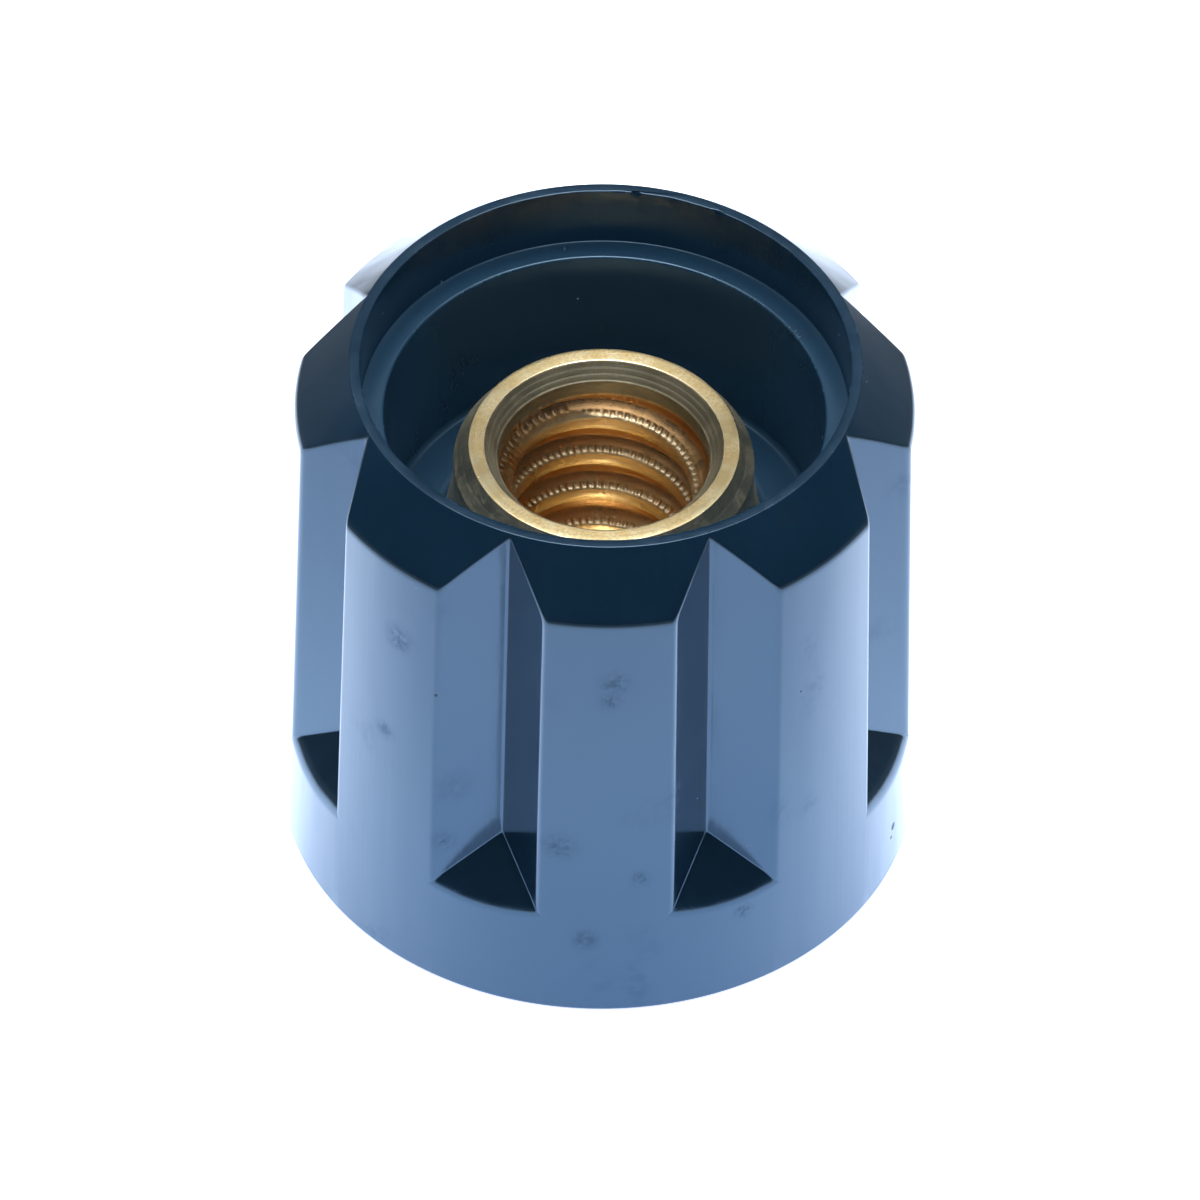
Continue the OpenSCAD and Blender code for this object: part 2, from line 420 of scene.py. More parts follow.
def thread_radius(angles, z):
    """Radius of the threaded bore at an angle and height, and how strongly a tool mark is cut there, which
    also gives the mark the worn colour, partly as wear and partly as a painted glint.
    """
    crest = CREST_Z_AT_ZERO + THREAD_PITCH * angles / (2 * math.pi)
    above = (z - crest + THREAD_PITCH / 2) % THREAD_PITCH - THREAD_PITCH / 2
    rise = np.clip((np.abs(above) - CREST_HALF_WIDTH) / FLANK_RUN, 0.0, 1.0)
    depth = smooth_step(z, THREAD_END_Z, THREAD_END_Z + THREAD_RUN_OUT)
    groove = CREST_RADIUS + (ROOT_RADIUS - CREST_RADIUS) * rise * depth
    r = np.maximum(plain_bore_radius(z), groove)
    on_lead_in = (z > BORE_TOP_Z) & (groove < plain_bore_radius(z))
    start = np.where(on_lead_in, LEAD_RADIUS - MARK_REACH - 0.25, CREST_RADIUS)
    end = start + MARK_REACH
    band = smooth_step(r, start, start + 0.06) * (1 - smooth_step(r, end - 0.1, end))
    band = band * (on_lead_in | (above > 0))
    tooth = (0.5 - 0.5 * np.cos(angles * MARKS_PER_TURN)) ** 0.7
    uneven = 0.75 + 0.25 * np.sin(angles * 23.0) * np.sin(angles * 7.0 + z)
    return r + MARK_DEPTH * band * tooth * uneven, MARK_WEAR_AND_GLINT * band * tooth


def thread_offsets():
    """Heights of the helical rows above a crest's centre, over one pitch."""
    crest, root = CREST_HALF_WIDTH, CREST_HALF_WIDTH + FLANK_RUN
    below = [-THREAD_PITCH / 2 + 0.1, -root - 0.05, -root + 0.06, -(crest + root) / 2,
             -crest - 0.06, -crest + 0.05]
    above = [0.0, crest - 0.06, crest + 0.01, crest + 0.07, crest + 0.15, crest + 0.24, crest + 0.32,
             crest + 0.39, crest + 0.45, root - 0.05, root + 0.05, root + 0.25]
    return below + above


def thread_points():
    """Helical rows of the bore from its bottom to the counterbore, as an array of (column, row)."""
    angles = np.linspace(0, 2 * math.pi, COLUMNS, endpoint=False)
    offsets = np.array(thread_offsets())
    turns = np.arange(FIRST_TURN, LAST_TURN + 1)
    heights = (turns[:, None] * THREAD_PITCH + offsets[None, :]).ravel()
    z = CREST_Z_AT_ZERO + THREAD_PITCH * angles[:, None] / (2 * math.pi) + heights[None, :]
    nearest = np.abs(z - BORE_TOP_Z).argmin(axis=1)
    z[np.arange(COLUMNS), nearest] = BORE_TOP_Z
    z = np.clip(z, BORE_BOTTOM_Z, LEAD_BOTTOM_Z)
    a = np.repeat(angles[:, None], z.shape[1], axis=1)
    r, marks = thread_radius(a, z)
    r = np.where(z >= LEAD_BOTTOM_Z - 1e-6, LEAD_RADIUS - bumps_round(a, LEAD_BURRS), r)
    r = np.where(z <= BORE_BOTTOM_Z + 1e-6, CREST_RADIUS, r)
    return np.stack([r * np.cos(a), r * np.sin(a), z, marks], 2), len(offsets)


def turned_face(a, b, steps):
    """Points from a to b along a turned face, with the fine ridges a lathe tool leaves."""
    a, b = np.array(a, float), np.array(b, float)
    side = np.array((b - a)[::-1] * (1, -1)) / np.linalg.norm(b - a)
    ridges = [sum(height * math.sin(turn * i + start) for height, turn, start in LATHE_RIDGES)
              for i in range(steps + 1)]
    return [tuple(a + (b - a) * i / steps + side * ridges[i]) for i in range(1, steps)]


def make_insert():
    angles = np.linspace(0, 2 * math.pi, COLUMNS, endpoint=False)
    helix, per_turn = thread_points()
    rows = helix.shape[1]
    points = list(helix.reshape(-1, 4))
    faces = []
    for i in range(COLUMNS):
        j, shift = (i + 1, 0) if i + 1 < COLUMNS else (0, per_turn)
        for k in range(rows - 1):
            left, right = i * rows + k, j * rows + k + shift
            if k + shift + 1 < rows:
                faces.append((left, right, right + 1, left + 1))
            elif k + shift < rows:
                faces.append((left, right, left + 1))
    mouth = (LEAD_RADIUS + MOUTH_CHAMFER[0], INSERT_TOP_Z)
    chamfer = (LEAD_RADIUS, LEAD_TOP_Z)
    bead = (LEAD_RADIUS, LEAD_TOP_Z - BEAD_LENGTH)
    lead = [(LEAD_RADIUS, LEAD_BOTTOM_Z), (LEAD_RADIUS, LEAD_BOTTOM_Z + BURR_RISE)]
    lead += turned_face(lead[-1], bead, 10)
    lead += [bead, (LEAD_RADIUS - BEAD_HEIGHT, LEAD_TOP_Z - BEAD_LENGTH / 2),
             (LEAD_RADIUS - BEAD_HEIGHT, LEAD_TOP_Z),
             (LEAD_RADIUS + BEAD_HEIGHT / 2, LEAD_TOP_Z + BEAD_LENGTH / 2)]
    outline = insert_outline()
    mouth_edge = arc(chamfer, mouth, outline[0], LAND_EDGE_ROUND, 4)
    lead += turned_face(lead[-1], mouth_edge[0], 16) + mouth_edge
    lead += along(lead[-1], outline[0], 3)
    outside = arc(mouth, outline[0], outline[1], LAND_EDGE_ROUND, 4)
    for k, edge_round in ((1, CHAMFER_EDGE_ROUND), (2, COLLAR_EDGE_ROUND), (3, CHAMFER_EDGE_ROUND)):
        outside += arc(outline[k - 1], outline[k], outline[k + 1], edge_round, 3)
    upper = ring_rows(lead + outside, angles) + seat_rows(angles, SEAT_START)
    burrs = bumps_round(angles, LEAD_BURRS)
    upper[0][:, :2] *= (1 - burrs / LEAD_RADIUS)[:, None]
    # The burrs take the worn colour by their height, partly as wear and partly as a painted glint
    upper[0][:, 3] = np.clip(burrs / BURR_WORN_AND_GLINT_FROM, 0, 1)
    lower = ring_rows([(CREST_RADIUS, BORE_BOTTOM_Z), (3.5, (BORE_BOTTOM_Z + DRILL_TIP_Z) / 2)], angles)
    for rings, end_z in ((upper, INSERT_BOTTOM_Z), (lower, DRILL_TIP_Z)):
        first = len(points)
        for ring in rings:
            points += list(ring)
        for k in range(len(rings) - 1):
            for i in range(COLUMNS):
                j = (i + 1) % COLUMNS
                low, high = first + k * COLUMNS, first + (k + 1) * COLUMNS
                faces.append((low + i, low + j, high + j, high + i))
        end = first + (len(rings) - 1) * COLUMNS
        points.append(np.array((0, 0, end_z, 0), float))
        for i in range(COLUMNS):
            faces.append((end + i, end + (i + 1) % COLUMNS, len(points) - 1))
    return mesh_object("brass_insert", np.array(points), faces, [mouth, chamfer] + outline[:4])


# ---- Materials: helpers that place nodes, then the groups that both finishes share

def feed(tree, socket, value):
    """Links a socket to another socket, or gives it a plain number, vector or colour."""
    if isinstance(value, bpy.types.NodeSocket):
        tree.links.new(value, socket)
    else:
        socket.default_value = value


def place(tree, kind, values=None, **settings):
    """Adds a node of that kind, makes its settings and feeds its inputs."""
    item = tree.nodes.new("ShaderNode" + kind)
    for key, setting in settings.items():
        setattr(item, key, setting)
    for key, value in (values or {}).items():
        feed(tree, item.inputs[key], value)
    return item


def sums(tree, operation, a, b):
    return place(tree, "Math", {0: a, 1: b}, operation=operation).outputs[0]


def times(tree, a, b):
    return sums(tree, "MULTIPLY", a, b)


def plus(tree, a, b):
    return sums(tree, "ADD", a, b)


def minus(tree, a, b):
    return sums(tree, "SUBTRACT", a, b)


def ramp(tree, value, low, high, at_low=0.0, at_high=1.0):
    """A smooth run from at_low to at_high while the value goes from low to high."""
    return place(tree, "MapRange", {"Value": value, "From Min": low, "From Max": high, "To Min": at_low,
                                    "To Max": at_high}, interpolation_type="SMOOTHSTEP").outputs["Result"]


def noise(tree, position, scale, detail, roughness=0.5):
    values = {"Vector": position, "Scale": scale, "Detail": detail, "Roughness": roughness}
    return place(tree, "TexNoise", values).outputs["Fac"]


def blend(tree, factor, a, b):
    """Colour a where the factor is 0, colour b where it is 1."""
    # The mix node's colours are its sockets 6 and 7
    return place(tree, "Mix", {0: factor, 6: a, 7: b}, data_type="RGBA").outputs[2]


def tinted(tree, colour, mask, share, tint):
    """The colour, with that share of the tint where the mask is 1."""
    return blend(tree, times(tree, mask, share), colour, tint)


def new_group(name, inputs, outputs):
    """An empty node group with named sockets, and its inner ends."""
    group = bpy.data.node_groups.new(name, "ShaderNodeTree")
    for label, kind in inputs:
        group.interface.new_socket(label, in_out="INPUT", socket_type="NodeSocket" + kind)
    for label, kind in outputs:
        group.interface.new_socket(label, in_out="OUTPUT", socket_type="NodeSocket" + kind)
    return group, group.nodes.new("NodeGroupInput").outputs, group.nodes.new("NodeGroupOutput").inputs


def use_group(tree, group, **values):
    """Uses a group in a material. An input's name is written with _ for each space."""
    item = tree.nodes.new("ShaderNodeGroup")
    item.node_tree = group
    for key, value in values.items():
        feed(tree, item.inputs[key.replace("_", " ")], value)
    return item.outputs


def make_fine_grain():
    """A fine uneven grain: a height for the bump and a slower cloudiness for the colour."""
    group, given, result = new_group(
        "fine_grain", [("Position", "Vector"), ("Grains per mm", "Float"), ("Cloud size", "Float")],
        [("Height", "Float"), ("Clouds", "Float")])
    slow = sums(group, "DIVIDE", 1.0, given["Cloud size"])
    clouds = noise(group, given["Position"], slow, 3.0, 0.6)
    feed(group, result["Height"], noise(group, given["Position"], given["Grains per mm"], 2.0))
    feed(group, result["Clouds"], ramp(group, clouds, 0.35, 0.68))
    return group


def make_drawn_lines():
    """Long fine lines across one direction, such as turning or mould polishing leaves, that come and go."""
    group, given, result = new_group(
        "drawn_lines",
        [("Position", "Vector"), ("Across", "Float"), ("Spacing", "Float"), ("Length", "Float")],
        [("Height", "Float"), ("Lines", "Float")])
    step = sums(group, "DIVIDE", given["Across"], given["Spacing"])
    patch = noise(group, given["Position"], sums(group, "DIVIDE", 1.0, given["Length"]), 1.0)
    moved = plus(group, step, times(group, patch, 1.5))
    line = place(group, "TexNoise", {"W": moved, "Scale": 1.0, "Detail": 3.0, "Roughness": 0.7},
                 noise_dimensions="1D").outputs["Fac"]
    height = times(group, line, ramp(group, patch, 0.25, 0.75, 0.45, 1.0))
    feed(group, result["Height"], height)
    feed(group, result["Lines"], ramp(group, height, 0.2, 0.6))
    return group


def make_worn_edges():
    """A broken mask along the edges that hands and tools rub."""
    group, given, result = new_group(
        "worn_edges", [("Position", "Vector"), ("Break size", "Float"), ("Reach", "Float")],
        [("Mask", "Float")])
    edge = place(group, "Attribute", attribute_name="edge_wear").outputs["Fac"]
    broken = noise(group, given["Position"], sums(group, "DIVIDE", 1.0, given["Break size"]), 4.0, 0.65)
    reach = times(group, edge, plus(group, given["Reach"], broken))
    feed(group, result["Mask"], ramp(group, reach, 0.55, 1.15))
    return group


def make_handling_marks():
    """Soft smudges broken up by a finer speckle."""
    group, given, result = new_group(
        "handling_marks", [("Position", "Vector"), ("Size", "Float"), ("Share", "Float")],
        [("Mask", "Float")])
    slow = sums(group, "DIVIDE", 1.0, given["Size"])
    broad = noise(group, given["Position"], slow, 2.0)
    speckle = noise(group, given["Position"], times(group, slow, 9.0), 3.0, 0.7)
    limit = minus(group, 1.0, given["Share"])
    over = sums(group, "DIVIDE", minus(group, broad, limit), 0.12)
    mask = times(group, ramp(group, over, 0.0, 1.0), ramp(group, speckle, 0.35, 0.65))
    feed(group, result["Mask"], mask)
    return group


def make_scattered_specks():
    """Small separate specks, such as dust or pits, scattered unevenly."""
    group, given, result = new_group(
        "scattered_specks",
        [("Position", "Vector"), ("Spacing", "Float"), ("Size", "Float"), ("Share", "Float")],
        [("Mask", "Float")])
    scale = sums(group, "DIVIDE", 1.0, given["Spacing"])
    cells = place(group, "TexVoronoi", {"Vector": given["Position"], "Scale": scale}).outputs
    chance = place(group, "SeparateXYZ", {"Vector": cells["Color"]}).outputs
    kept = sums(group, "LESS_THAN", chance["X"], given["Share"])
    size = times(group, given["Size"], plus(group, chance["Y"], 0.3))
    near = ramp(group, sums(group, "DIVIDE", cells["Distance"], size), 1.0, 0.6)
    feed(group, result["Mask"], times(group, near, kept))
    return group


FINE_GRAIN = make_fine_grain()
SCATTERED_SPECKS = make_scattered_specks()
DRAWN_LINES = make_drawn_lines()
WORN_EDGES = make_worn_edges()
HANDLING_MARKS = make_handling_marks()

# Marks on the outer wall: degrees from the -Y side towards +X, height and radius in millimetres
WALL_SMUDGES = [(-30.3, 14.7, 1.9), (-8.4, 18.0, 2.1), (1.0, 36.1, 1.9), (0.2, 34.2, 1.4),
                (-3.5, 7.9, 1.6), (-41.4, 34.9, 2.2), (-44.4, 24.1, 1.4), (6.2, 14.5, 1.3),
                (26.0, 8.5, 1.2), (-27.5, 20.5, 3.0)]
DARK_SPECKS = [(67.8, 4.5, 0.42), (66.9, 3.6, 0.2), (-33.0, 30.9, 0.2), (38.0, 30.0, 0.14)]

# Colours of the moulding
NAVY_DARK, NAVY_LIGHT = (0.0035, 0.019, 0.042, 1), (0.005, 0.024, 0.052, 1)
NAVY_STREAK, NAVY_WORN = (0.008, 0.031, 0.066, 1), (0.035, 0.075, 0.125, 1)
# The cup's navy is lighter than the wall's, as painted light; its grey is laid on the far side of the mouth
CUP_NAVY_PAINTED_LIGHT, CUP_FAR_SIDE_GREY = (0.016, 0.052, 0.100, 1), (0.075, 0.080, 0.085, 1)
SMUDGE, DUST, DARK_SPECK = (0.016, 0.026, 0.036, 1), (0.30, 0.36, 0.42, 1), (0.002, 0.002, 0.003, 1)
NAVY_IOR = 2.0
NAVY_GLOSS_TINT = (0.5, 0.75, 1.0, 1)
# How the slow unevenness of the moulded wall is drawn out along each axis, per millimetre
SINK_STRETCH = (0.26, 0.26, 0.045)

# Colours of the insert, outside and on its land, then in the bore
# The worn brass colour marks rubbed edges, and on the bore's burrs and tool marks it is also a painted glint
BRASS_DARK, BRASS_LIGHT, BRASS_WORN_AND_GLINT = (0.80, 0.62, 0.30, 1), (0.93, 0.82, 0.52, 1), (1.0, 0.90, 0.66, 1)
TARNISH, TOOL_LINE, PIT = (0.52, 0.35, 0.13, 1), (0.60, 0.52, 0.32, 1), (0.40, 0.27, 0.10, 1)
BRASS_DULL, COUNTERBORE_GREY = (0.50, 0.51, 0.42, 1), (0.38, 0.46, 0.47, 1)
# In the bore the crests are painted lighter as painted light, and the grooves orange and the lead-in brown as
# painted shade
CREST_PAINTED_LIGHT, ROOT_PAINTED_SHADE, LEAD_IN_PAINTED_SHADE = (0.99, 0.81, 0.51, 1), (0.80, 0.46, 0.20, 1), (0.40, 0.20, 0.09, 1)


def new_material(name):
    material = bpy.data.materials.new(name)
    material.use_nodes = True
    tree = material.node_tree
    return material, tree, tree.nodes["Principled BSDF"]


def millimetres(tree):
    """The position on the piece in millimetres, with its parts."""
    position = tree.nodes.new("ShaderNodeTexCoord").outputs["Object"]
    position = place(tree, "VectorMath", {0: position, "Scale": 1 / MM}, operation="SCALE").outputs["Vector"]
    return position, place(tree, "SeparateXYZ", {"Vector": position}).outputs


def distance_from_axis(tree, parts):
    flat = place(tree, "CombineXYZ", {"X": parts["X"], "Y": parts["Y"], "Z": 0.0}).outputs[0]
    return place(tree, "VectorMath", {0: flat}, operation="LENGTH").outputs["Value"]


def marks_at(tree, position, marks, full_within):
    """One mask for a list of round marks on the outer wall, full within that share of their radius."""
    total = 0.0
    for turn, height, size in marks:
        around, radius = math.radians(turn - 90.0), BASE_RADIUS - WALL_FALL * height
        centre = (radius * math.cos(around), radius * math.sin(around), height)
        far = place(tree, "VectorMath", {0: position, 1: centre}, operation="DISTANCE").outputs["Value"]
        total = sums(tree, "MAXIMUM", total, ramp(tree, far, size, size * full_within))
    return total


def navy_plastic():
    """Dark blue moulded plastic: glossy, faintly streaked down the wall, smudged and rubbed at its edges."""
    material, tree, shader = new_material("navy_gloss_moulding")
    position, parts = millimetres(tree)
    around = times(tree, sums(tree, "ARCTAN2", parts["Y"], parts["X"]), BASE_RADIUS)
    grain = use_group(tree, FINE_GRAIN, Position=position, Grains_per_mm=5.0, Cloud_size=9.0)
    streak = use_group(tree, DRAWN_LINES, Position=position, Across=around, Spacing=0.5, Length=14.0)
    worn = use_group(tree, WORN_EDGES, Position=position, Break_size=1.2, Reach=0.45)["Mask"]
    smudge = use_group(tree, HANDLING_MARKS, Position=position, Size=7.0, Share=0.4)["Mask"]
    dust = use_group(tree, SCATTERED_SPECKS, Position=position, Spacing=2.2, Size=0.045, Share=0.35)["Mask"]
    dark = marks_at(tree, position, DARK_SPECKS, full_within=0.6)
    speckle = ramp(tree, noise(tree, position, 1.6, 4.0, 0.75), 0.32, 0.62)
    rubbed = times(tree, marks_at(tree, position, WALL_SMUDGES, full_within=0.15), speckle)
    rubbed = sums(tree, "MAXIMUM", rubbed, times(tree, smudge, 0.45))
    drawn = place(tree, "VectorMath", {0: position, 1: SINK_STRETCH}, operation="MULTIPLY").outputs["Vector"]
    sink = noise(tree, drawn, 1.0, 1.0)
    # The cup's inside is rougher and painted a lighter navy, as painted light, and the far side of its mouth
    # turns greyer in patches towards its top
    radius = distance_from_axis(tree, parts)
    inside = times(tree, ramp(tree, radius, MOUTH_RADIUS + 0.12, MOUTH_RADIUS - 0.1),
                   ramp(tree, parts["Z"], FLOOR_Z - 0.6, FLOOR_Z - 0.3))
    far_side_grey = times(tree, ramp(tree, parts["Z"], SHELF_Z + 2.0, HEIGHT - 1.0), ramp(tree, parts["Y"], 8.0, 18.0))

    colour = blend(tree, grain["Clouds"], NAVY_DARK, NAVY_LIGHT)
    colour = tinted(tree, colour, streak["Lines"], 0.4, NAVY_STREAK)
    colour = blend(tree, inside, colour, tinted(tree, CUP_NAVY_PAINTED_LIGHT, grain["Clouds"], far_side_grey, CUP_FAR_SIDE_GREY))
    for mask, share, tint in ((rubbed, 0.6, SMUDGE), (worn, 0.12, NAVY_WORN), (dust, 0.8, DUST)):
        colour = tinted(tree, colour, mask, share, tint)
    colour = blend(tree, dark, colour, DARK_SPECK)
    feed(tree, shader.inputs["Base Color"], colour)

    rough = plus(tree, ramp(tree, grain["Clouds"], 0.0, 1.0, 0.10, 0.14), times(tree, streak["Lines"], 0.03))
    for mask, more in ((rubbed, 0.2), (worn, 0.15), (dark, 0.5), (dust, 0.4), (inside, 0.1)):
        rough = plus(tree, rough, times(tree, mask, more))
    feed(tree, shader.inputs["Roughness"], rough)
    feed(tree, shader.inputs["Metallic"], times(tree, rubbed, 0.42))

    height = plus(tree, times(tree, grain["Height"], 0.1), streak["Height"])
    height = plus(tree, height, times(tree, sink, 14.0))
    height = minus(tree, height, times(tree, dark, 6.0))
    bump = place(tree, "Bump", {"Strength": 0.25, "Distance": 0.00002, "Height": height})
    feed(tree, shader.inputs["Normal"], bump.outputs["Normal"])
    shader.inputs["IOR"].default_value = NAVY_IOR
    shader.inputs["Specular Tint"].default_value = NAVY_GLOSS_TINT
    return material


def turned_brass():
    """Turned brass: bright on its rubbed top face, tool lines all round, and in the bore painted orange, with
    painted light on the crests and painted shade in the grooves and up the lead-in.
    """
    material, tree, shader = new_material("turned_brass")
    position, parts = millimetres(tree)
    radius = distance_from_axis(tree, parts)
    across = plus(tree, radius, parts["Z"])
    grain = use_group(tree, FINE_GRAIN, Position=position, Grains_per_mm=7.0, Cloud_size=1.6)
    fine = use_group(tree, DRAWN_LINES, Position=position, Across=across, Spacing=0.07, Length=6.0)
    coarse = use_group(tree, DRAWN_LINES, Position=position, Across=across, Spacing=0.22, Length=12.0)
    worn = use_group(tree, WORN_EDGES, Position=position, Break_size=0.7, Reach=0.5)["Mask"]
    tarnish = use_group(tree, HANDLING_MARKS, Position=position, Size=2.6, Share=0.6)["Mask"]
    pits = use_group(tree, SCATTERED_SPECKS, Position=position, Spacing=0.7, Size=0.14, Share=0.16)["Mask"]
    # Masks by place: in the threaded bore, out of it, counterbore and chamfer, outside the land
    deep = times(tree, ramp(tree, parts["Z"], LEAD_BOTTOM_Z + 0.05, LEAD_BOTTOM_Z - 0.3),
                 ramp(tree, radius, LEAD_RADIUS + 0.3, LEAD_RADIUS + 0.1))
    plain = minus(tree, 1.0, deep)
    mouth_radius, land_radius = LEAD_RADIUS + MOUTH_CHAMFER[0], insert_outline()[0][0]
    mouth = times(tree, ramp(tree, parts["Z"], LEAD_BOTTOM_Z - 0.02, LEAD_BOTTOM_Z + 0.04),
                  ramp(tree, radius, mouth_radius, mouth_radius - 0.1))
    dull = sums(tree, "MAXIMUM", mouth, ramp(tree, radius, land_radius, land_radius + 0.08))
    counterbore = times(tree, mouth, ramp(tree, parts["Z"], LEAD_TOP_Z, LEAD_TOP_Z - 0.1))

    colour = blend(tree, grain["Clouds"], BRASS_DARK, BRASS_LIGHT)
    for mask, share, tint in ((tarnish, times(tree, plain, 0.6), TARNISH),
                              (coarse["Lines"], times(tree, plain, 0.45), TOOL_LINE),
                              (dull, 0.75, BRASS_DULL), (counterbore, 0.7, COUNTERBORE_GREY)):
        colour = tinted(tree, colour, mask, share, tint)
    # Painted light and shade in the bore: lighter on the crests, orange and darker in the grooves, and
    # browner up the lead-in
    groove_painted_shade = ramp(tree, radius, CREST_RADIUS + 0.03, CREST_RADIUS + 0.55)
    bore_painted_light_and_shade = blend(tree, groove_painted_shade, CREST_PAINTED_LIGHT, ROOT_PAINTED_SHADE)
    lead_in_painted_shade = ramp(tree, parts["Z"], BORE_TOP_Z + 0.3, BORE_TOP_Z + 1.0, 0.0, 0.75)
    bore_painted_light_and_shade = blend(tree, lead_in_painted_shade, bore_painted_light_and_shade, LEAD_IN_PAINTED_SHADE)
    # On the bore's burrs and tool marks the worn colour is partly a painted glint
    for mask, share, tint in ((deep, 0.88, bore_painted_light_and_shade), (worn, 0.7, BRASS_WORN_AND_GLINT),
                              (pits, times(tree, plain, 0.5), PIT)):
        colour = tinted(tree, colour, mask, share, tint)
    feed(tree, shader.inputs["Base Color"], colour)

    rough = ramp(tree, tarnish, 0.0, 1.0, 0.30, 0.44)
    for mask, more in ((worn, -0.08), (fine["Lines"], 0.06), (dull, 0.14), (deep, -0.04)):
        rough = plus(tree, rough, times(tree, mask, more))
    feed(tree, shader.inputs["Roughness"], rough)

    height = plus(tree, times(tree, fine["Height"], 0.35), times(tree, coarse["Height"], 1.8))
    height = plus(tree, height, times(tree, grain["Height"], 0.3))
    height = minus(tree, height, times(tree, pits, 0.7))
    height = times(tree, height, minus(tree, 1.0, times(tree, deep, 0.8)))
    bump = place(tree, "Bump", {"Strength": 0.4, "Distance": 0.00004, "Height": height})
    feed(tree, shader.inputs["Normal"], bump.outputs["Normal"])
    # The worn marks in the bore scatter some light, so that they show there
    scattering = times(tree, times(tree, worn, deep), 0.5)
    feed(tree, shader.inputs["Metallic"], minus(tree, 1.0, scattering))
    shader.inputs["Anisotropic"].default_value = 0.25
    shader.inputs["Anisotropic Rotation"].default_value = 0.25
    return material


# The table is white near the object and grey far off. Distances from the axis in millimetres.
TABLE_WHITE, TABLE_GREY = (0.92, 0.93, 0.95, 1), (0.2, 0.2, 0.2, 1)
WHITE_UP_TO, GREY_FROM = 120.0, 210.0
# What the gloss sees of the lit table: brighter on the far side, and no further than its lit part
TABLE_NEAR_GLOW, TABLE_FAR_GLOW = (0.46, 0.86, 1.62, 1), (1.85, 2.3, 3.15, 1)
GLOW_FULL_UP_TO, GLOW_ENDS_AT = 15.0, 175.0
# How much the table shines for the camera where it is white. Where it is grey, it shines fully.
TABLE_SHOWN = 0.8


def floor_material():
    material, tree, shader = new_material("white_table")
    position, parts = millimetres(tree)
    shader.inputs["Roughness"].default_value = 0.9
    shader.inputs["Specular IOR Level"].default_value = 0.0
    path = tree.nodes.new("ShaderNodeLightPath").outputs
    away = place(tree, "VectorMath", {0: position}, operation="LENGTH").outputs["Value"]
    near = ramp(tree, away, GREY_FROM, WHITE_UP_TO)
    feed(tree, shader.inputs["Base Color"], blend(tree, near, TABLE_GREY, TABLE_WHITE))
    shown = ramp(tree, near, 0.0, 1.0, 1.0, TABLE_SHOWN)
    glow = blend(tree, ramp(tree, parts["Y"], -40.0, 5.0), TABLE_NEAR_GLOW, TABLE_FAR_GLOW)
    strength = times(tree, path["Is Glossy Ray"], ramp(tree, away, GLOW_ENDS_AT, GLOW_FULL_UP_TO))
    strength = plus(tree, strength, times(tree, path["Is Camera Ray"], shown))
    strength = plus(tree, strength, path["Is Transmission Ray"])
    feed(tree, shader.inputs["Emission Color"], blend(tree, path["Is Glossy Ray"], (1, 1, 1, 1), glow))
    feed(tree, shader.inputs["Emission Strength"], strength)
    # Clear from behind, so that the closed face shows from below
    behind = tree.nodes.new("ShaderNodeNewGeometry").outputs["Backfacing"]
    feed(tree, shader.inputs["Alpha"], minus(tree, 1.0, behind))
    material.cycles.emission_sampling = "NONE"
    return material


# ---- The pieces

body = make_body()
body.data.materials.append(navy_plastic())
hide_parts("knob_body")
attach(body, "root")

insert = make_insert()
insert.data.materials.append(turned_brass())
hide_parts("threaded_insert")
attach(insert, "root")

# ---- Floor, light and camera

# Half the table's width in metres, and how far it lies below the closed face, so that the two don't meet
TABLE_HALF = 3.0
TABLE_DROP = 0.05 * MM


def make_table():
    corners = [(x * TABLE_HALF, y * TABLE_HALF, -TABLE_DROP) for x, y in ((-1, -1), (1, -1), (1, 1), (-1, 1))]
    mesh = bpy.data.meshes.new("table")
    mesh.from_pydata(corners, [], [(0, 1, 2, 3)])
    mesh.materials.append(floor_material())
    piece = bpy.data.objects.new("table", mesh)
    bpy.context.scene.collection.objects.link(piece)
    return piece


table = make_table()

# Light from the world, then the lamps that fill the shade. Turns are degrees round from +X.
OVERHEAD_ELEVATION = math.radians(80.0)
OVERHEAD_LIGHT = 0.62
OVERHEAD_MIDDLE = 7.0
WALL_LIGHT = 0.2
ROOM_LIGHT = 0.03
FILL_OVERHEAD, FILL_SIDE = 0.2, 0.6
FILL_SIDE_TURNS = (30.0, 150.0, 270.0)
FILL_SPREAD = math.radians(70.0)


def light_the_room():
    """White for the camera. For the object: a soft light overhead, a little behind, and a dim far wall."""
    world = bpy.data.worlds.new("studio")
    bpy.context.scene.world = world
    world.use_nodes = True
    tree = world.node_tree
    background = tree.nodes["Background"]
    direction = tree.nodes.new("ShaderNodeTexCoord").outputs["Generated"]
    split = place(tree, "SeparateXYZ", {"Vector": direction}).outputs
    towards = (0.0, math.cos(OVERHEAD_ELEVATION), math.sin(OVERHEAD_ELEVATION))
    facing = place(tree, "VectorMath", {0: direction, 1: towards}, operation="DOT_PRODUCT").outputs["Value"]
    walls = times(tree, ramp(tree, split["Z"], 0.3, 0.1), ramp(tree, split["Y"], -0.3, 0.3))
    total = times(tree, ramp(tree, facing, 0.7, 1.0), OVERHEAD_LIGHT)
    total = plus(tree, total, times(tree, ramp(tree, facing, 0.92, 0.985), OVERHEAD_MIDDLE))
    total = plus(tree, plus(tree, total, ROOM_LIGHT), times(tree, walls, WALL_LIGHT))
    path = tree.nodes.new("ShaderNodeLightPath").outputs
    shown = place(tree, "Mix", {"Factor": path["Is Camera Ray"], "A": total, "B": 1.0}, data_type="FLOAT")
    background.inputs["Color"].default_value = (1, 1, 1, 1)
    feed(tree, background.inputs["Strength"], shown.outputs["Result"])


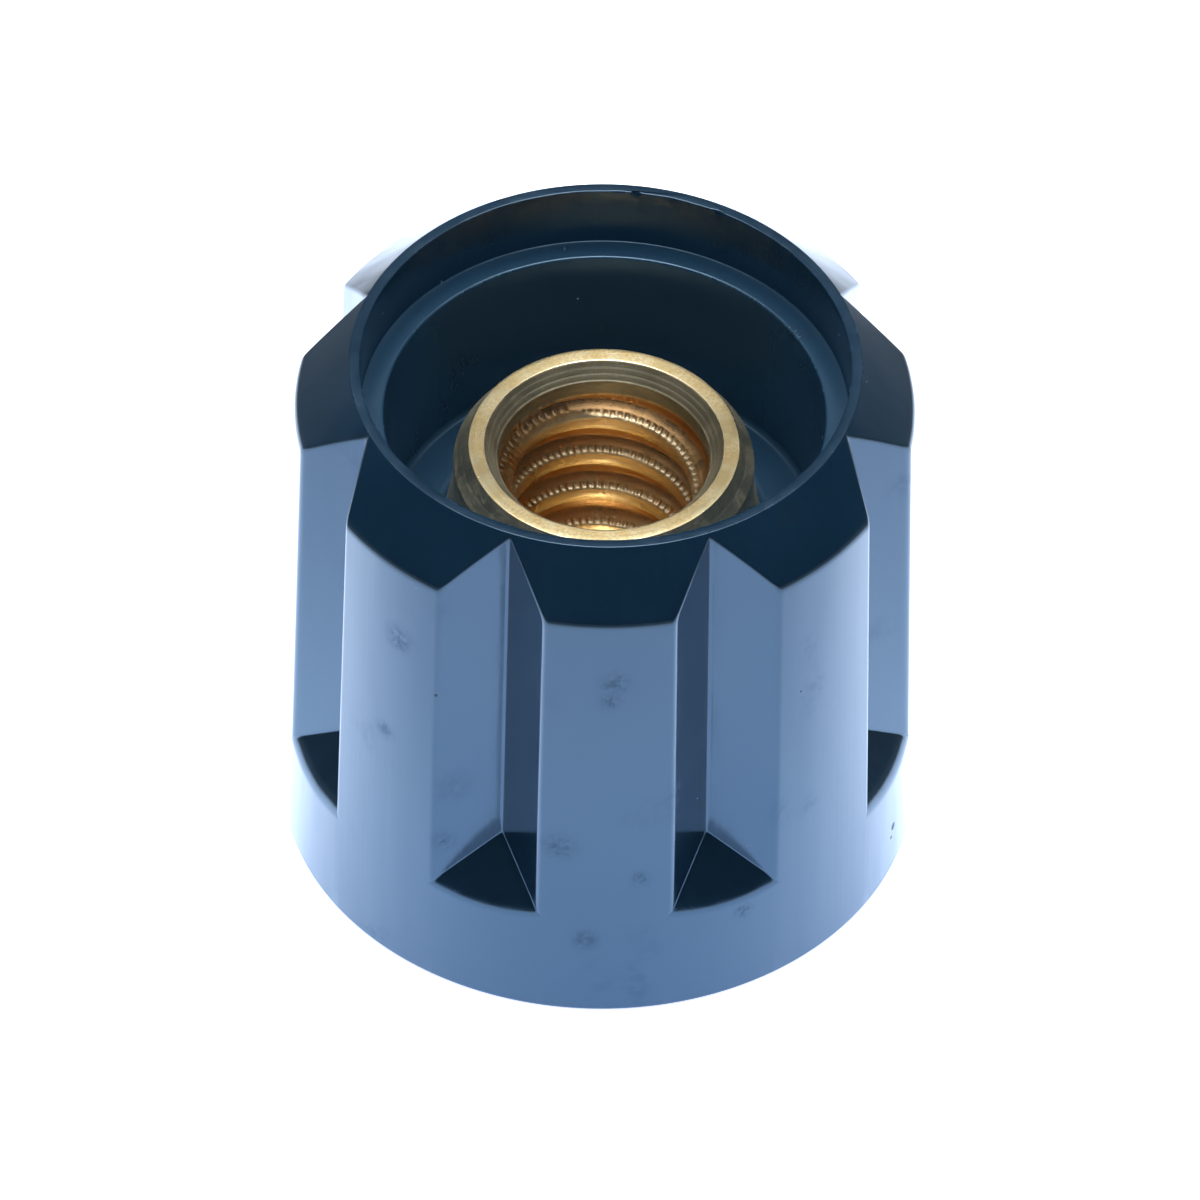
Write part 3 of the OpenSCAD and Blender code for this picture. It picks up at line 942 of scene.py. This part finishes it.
def soft_lamp(name, turn, elevation, strength):
    """A wide soft lamp that fills the shade. It leaves no bright spot in the gloss."""
    lamp = bpy.data.lights.new(name, "SUN")
    lamp.energy = strength
    lamp.angle = FILL_SPREAD
    lamp.specular_factor = 0.0
    holder = bpy.data.objects.new(name, lamp)
    holder.visible_glossy = False
    around, up = math.radians(turn), math.radians(elevation)
    towards = Vector((math.cos(around) * math.cos(up), math.sin(around) * math.cos(up), math.sin(up)))
    holder.rotation_euler = towards.to_track_quat("Z", "Y").to_euler()
    bpy.context.scene.collection.objects.link(holder)


light_the_room()
soft_lamp("fill_overhead", turn=90.0, elevation=85.0, strength=FILL_OVERHEAD)
for side, turn in enumerate(FILL_SIDE_TURNS):
    soft_lamp(f"fill_side_{side}", turn, elevation=42.0, strength=FILL_SIDE)


# The photograph's view: lengths in millimetres, the reach of the camera in metres
VIEW_ELEVATION = math.radians(45.694)
VIEW_TURN = math.radians(1.78)
VIEW_ROLL = math.radians(1.109)
VIEW_DISTANCE = 1512.0
AIM_HEIGHT = 22.441
AIM_DROP = 1.375
AIM_LEFT = 0.111
LENS = 577.98
SENSOR_WIDTH = 36.0
NEAREST, FARTHEST = 0.05, 20.0


def place_camera():
    outward = Vector((-math.sin(VIEW_TURN) * math.cos(VIEW_ELEVATION),
                      -math.cos(VIEW_TURN) * math.cos(VIEW_ELEVATION), math.sin(VIEW_ELEVATION)))
    right = Vector((0, 0, 1)).cross(outward).normalized()
    up = outward.cross(right)
    across = right * math.cos(VIEW_ROLL) + up * math.sin(VIEW_ROLL)
    upward = up * math.cos(VIEW_ROLL) - right * math.sin(VIEW_ROLL)
    spot = Vector((0, 0, AIM_HEIGHT)) + outward * VIEW_DISTANCE - upward * AIM_DROP - across * AIM_LEFT
    data = bpy.data.cameras.new("view")
    data.sensor_width = SENSOR_WIDTH
    data.lens = LENS
    data.clip_start, data.clip_end = NEAREST, FARTHEST
    camera = bpy.data.objects.new("view", data)
    bpy.context.scene.collection.objects.link(camera)
    axes = Matrix((across, upward, outward)).transposed()
    camera.matrix_world = Matrix.Translation(spot * MM) @ axes.to_4x4()
    bpy.context.scene.camera = camera


place_camera()
bpy.context.scene.view_settings.view_transform = "Standard"


def plain(box):
    return [[float(x) for x in corner] for corner in box]
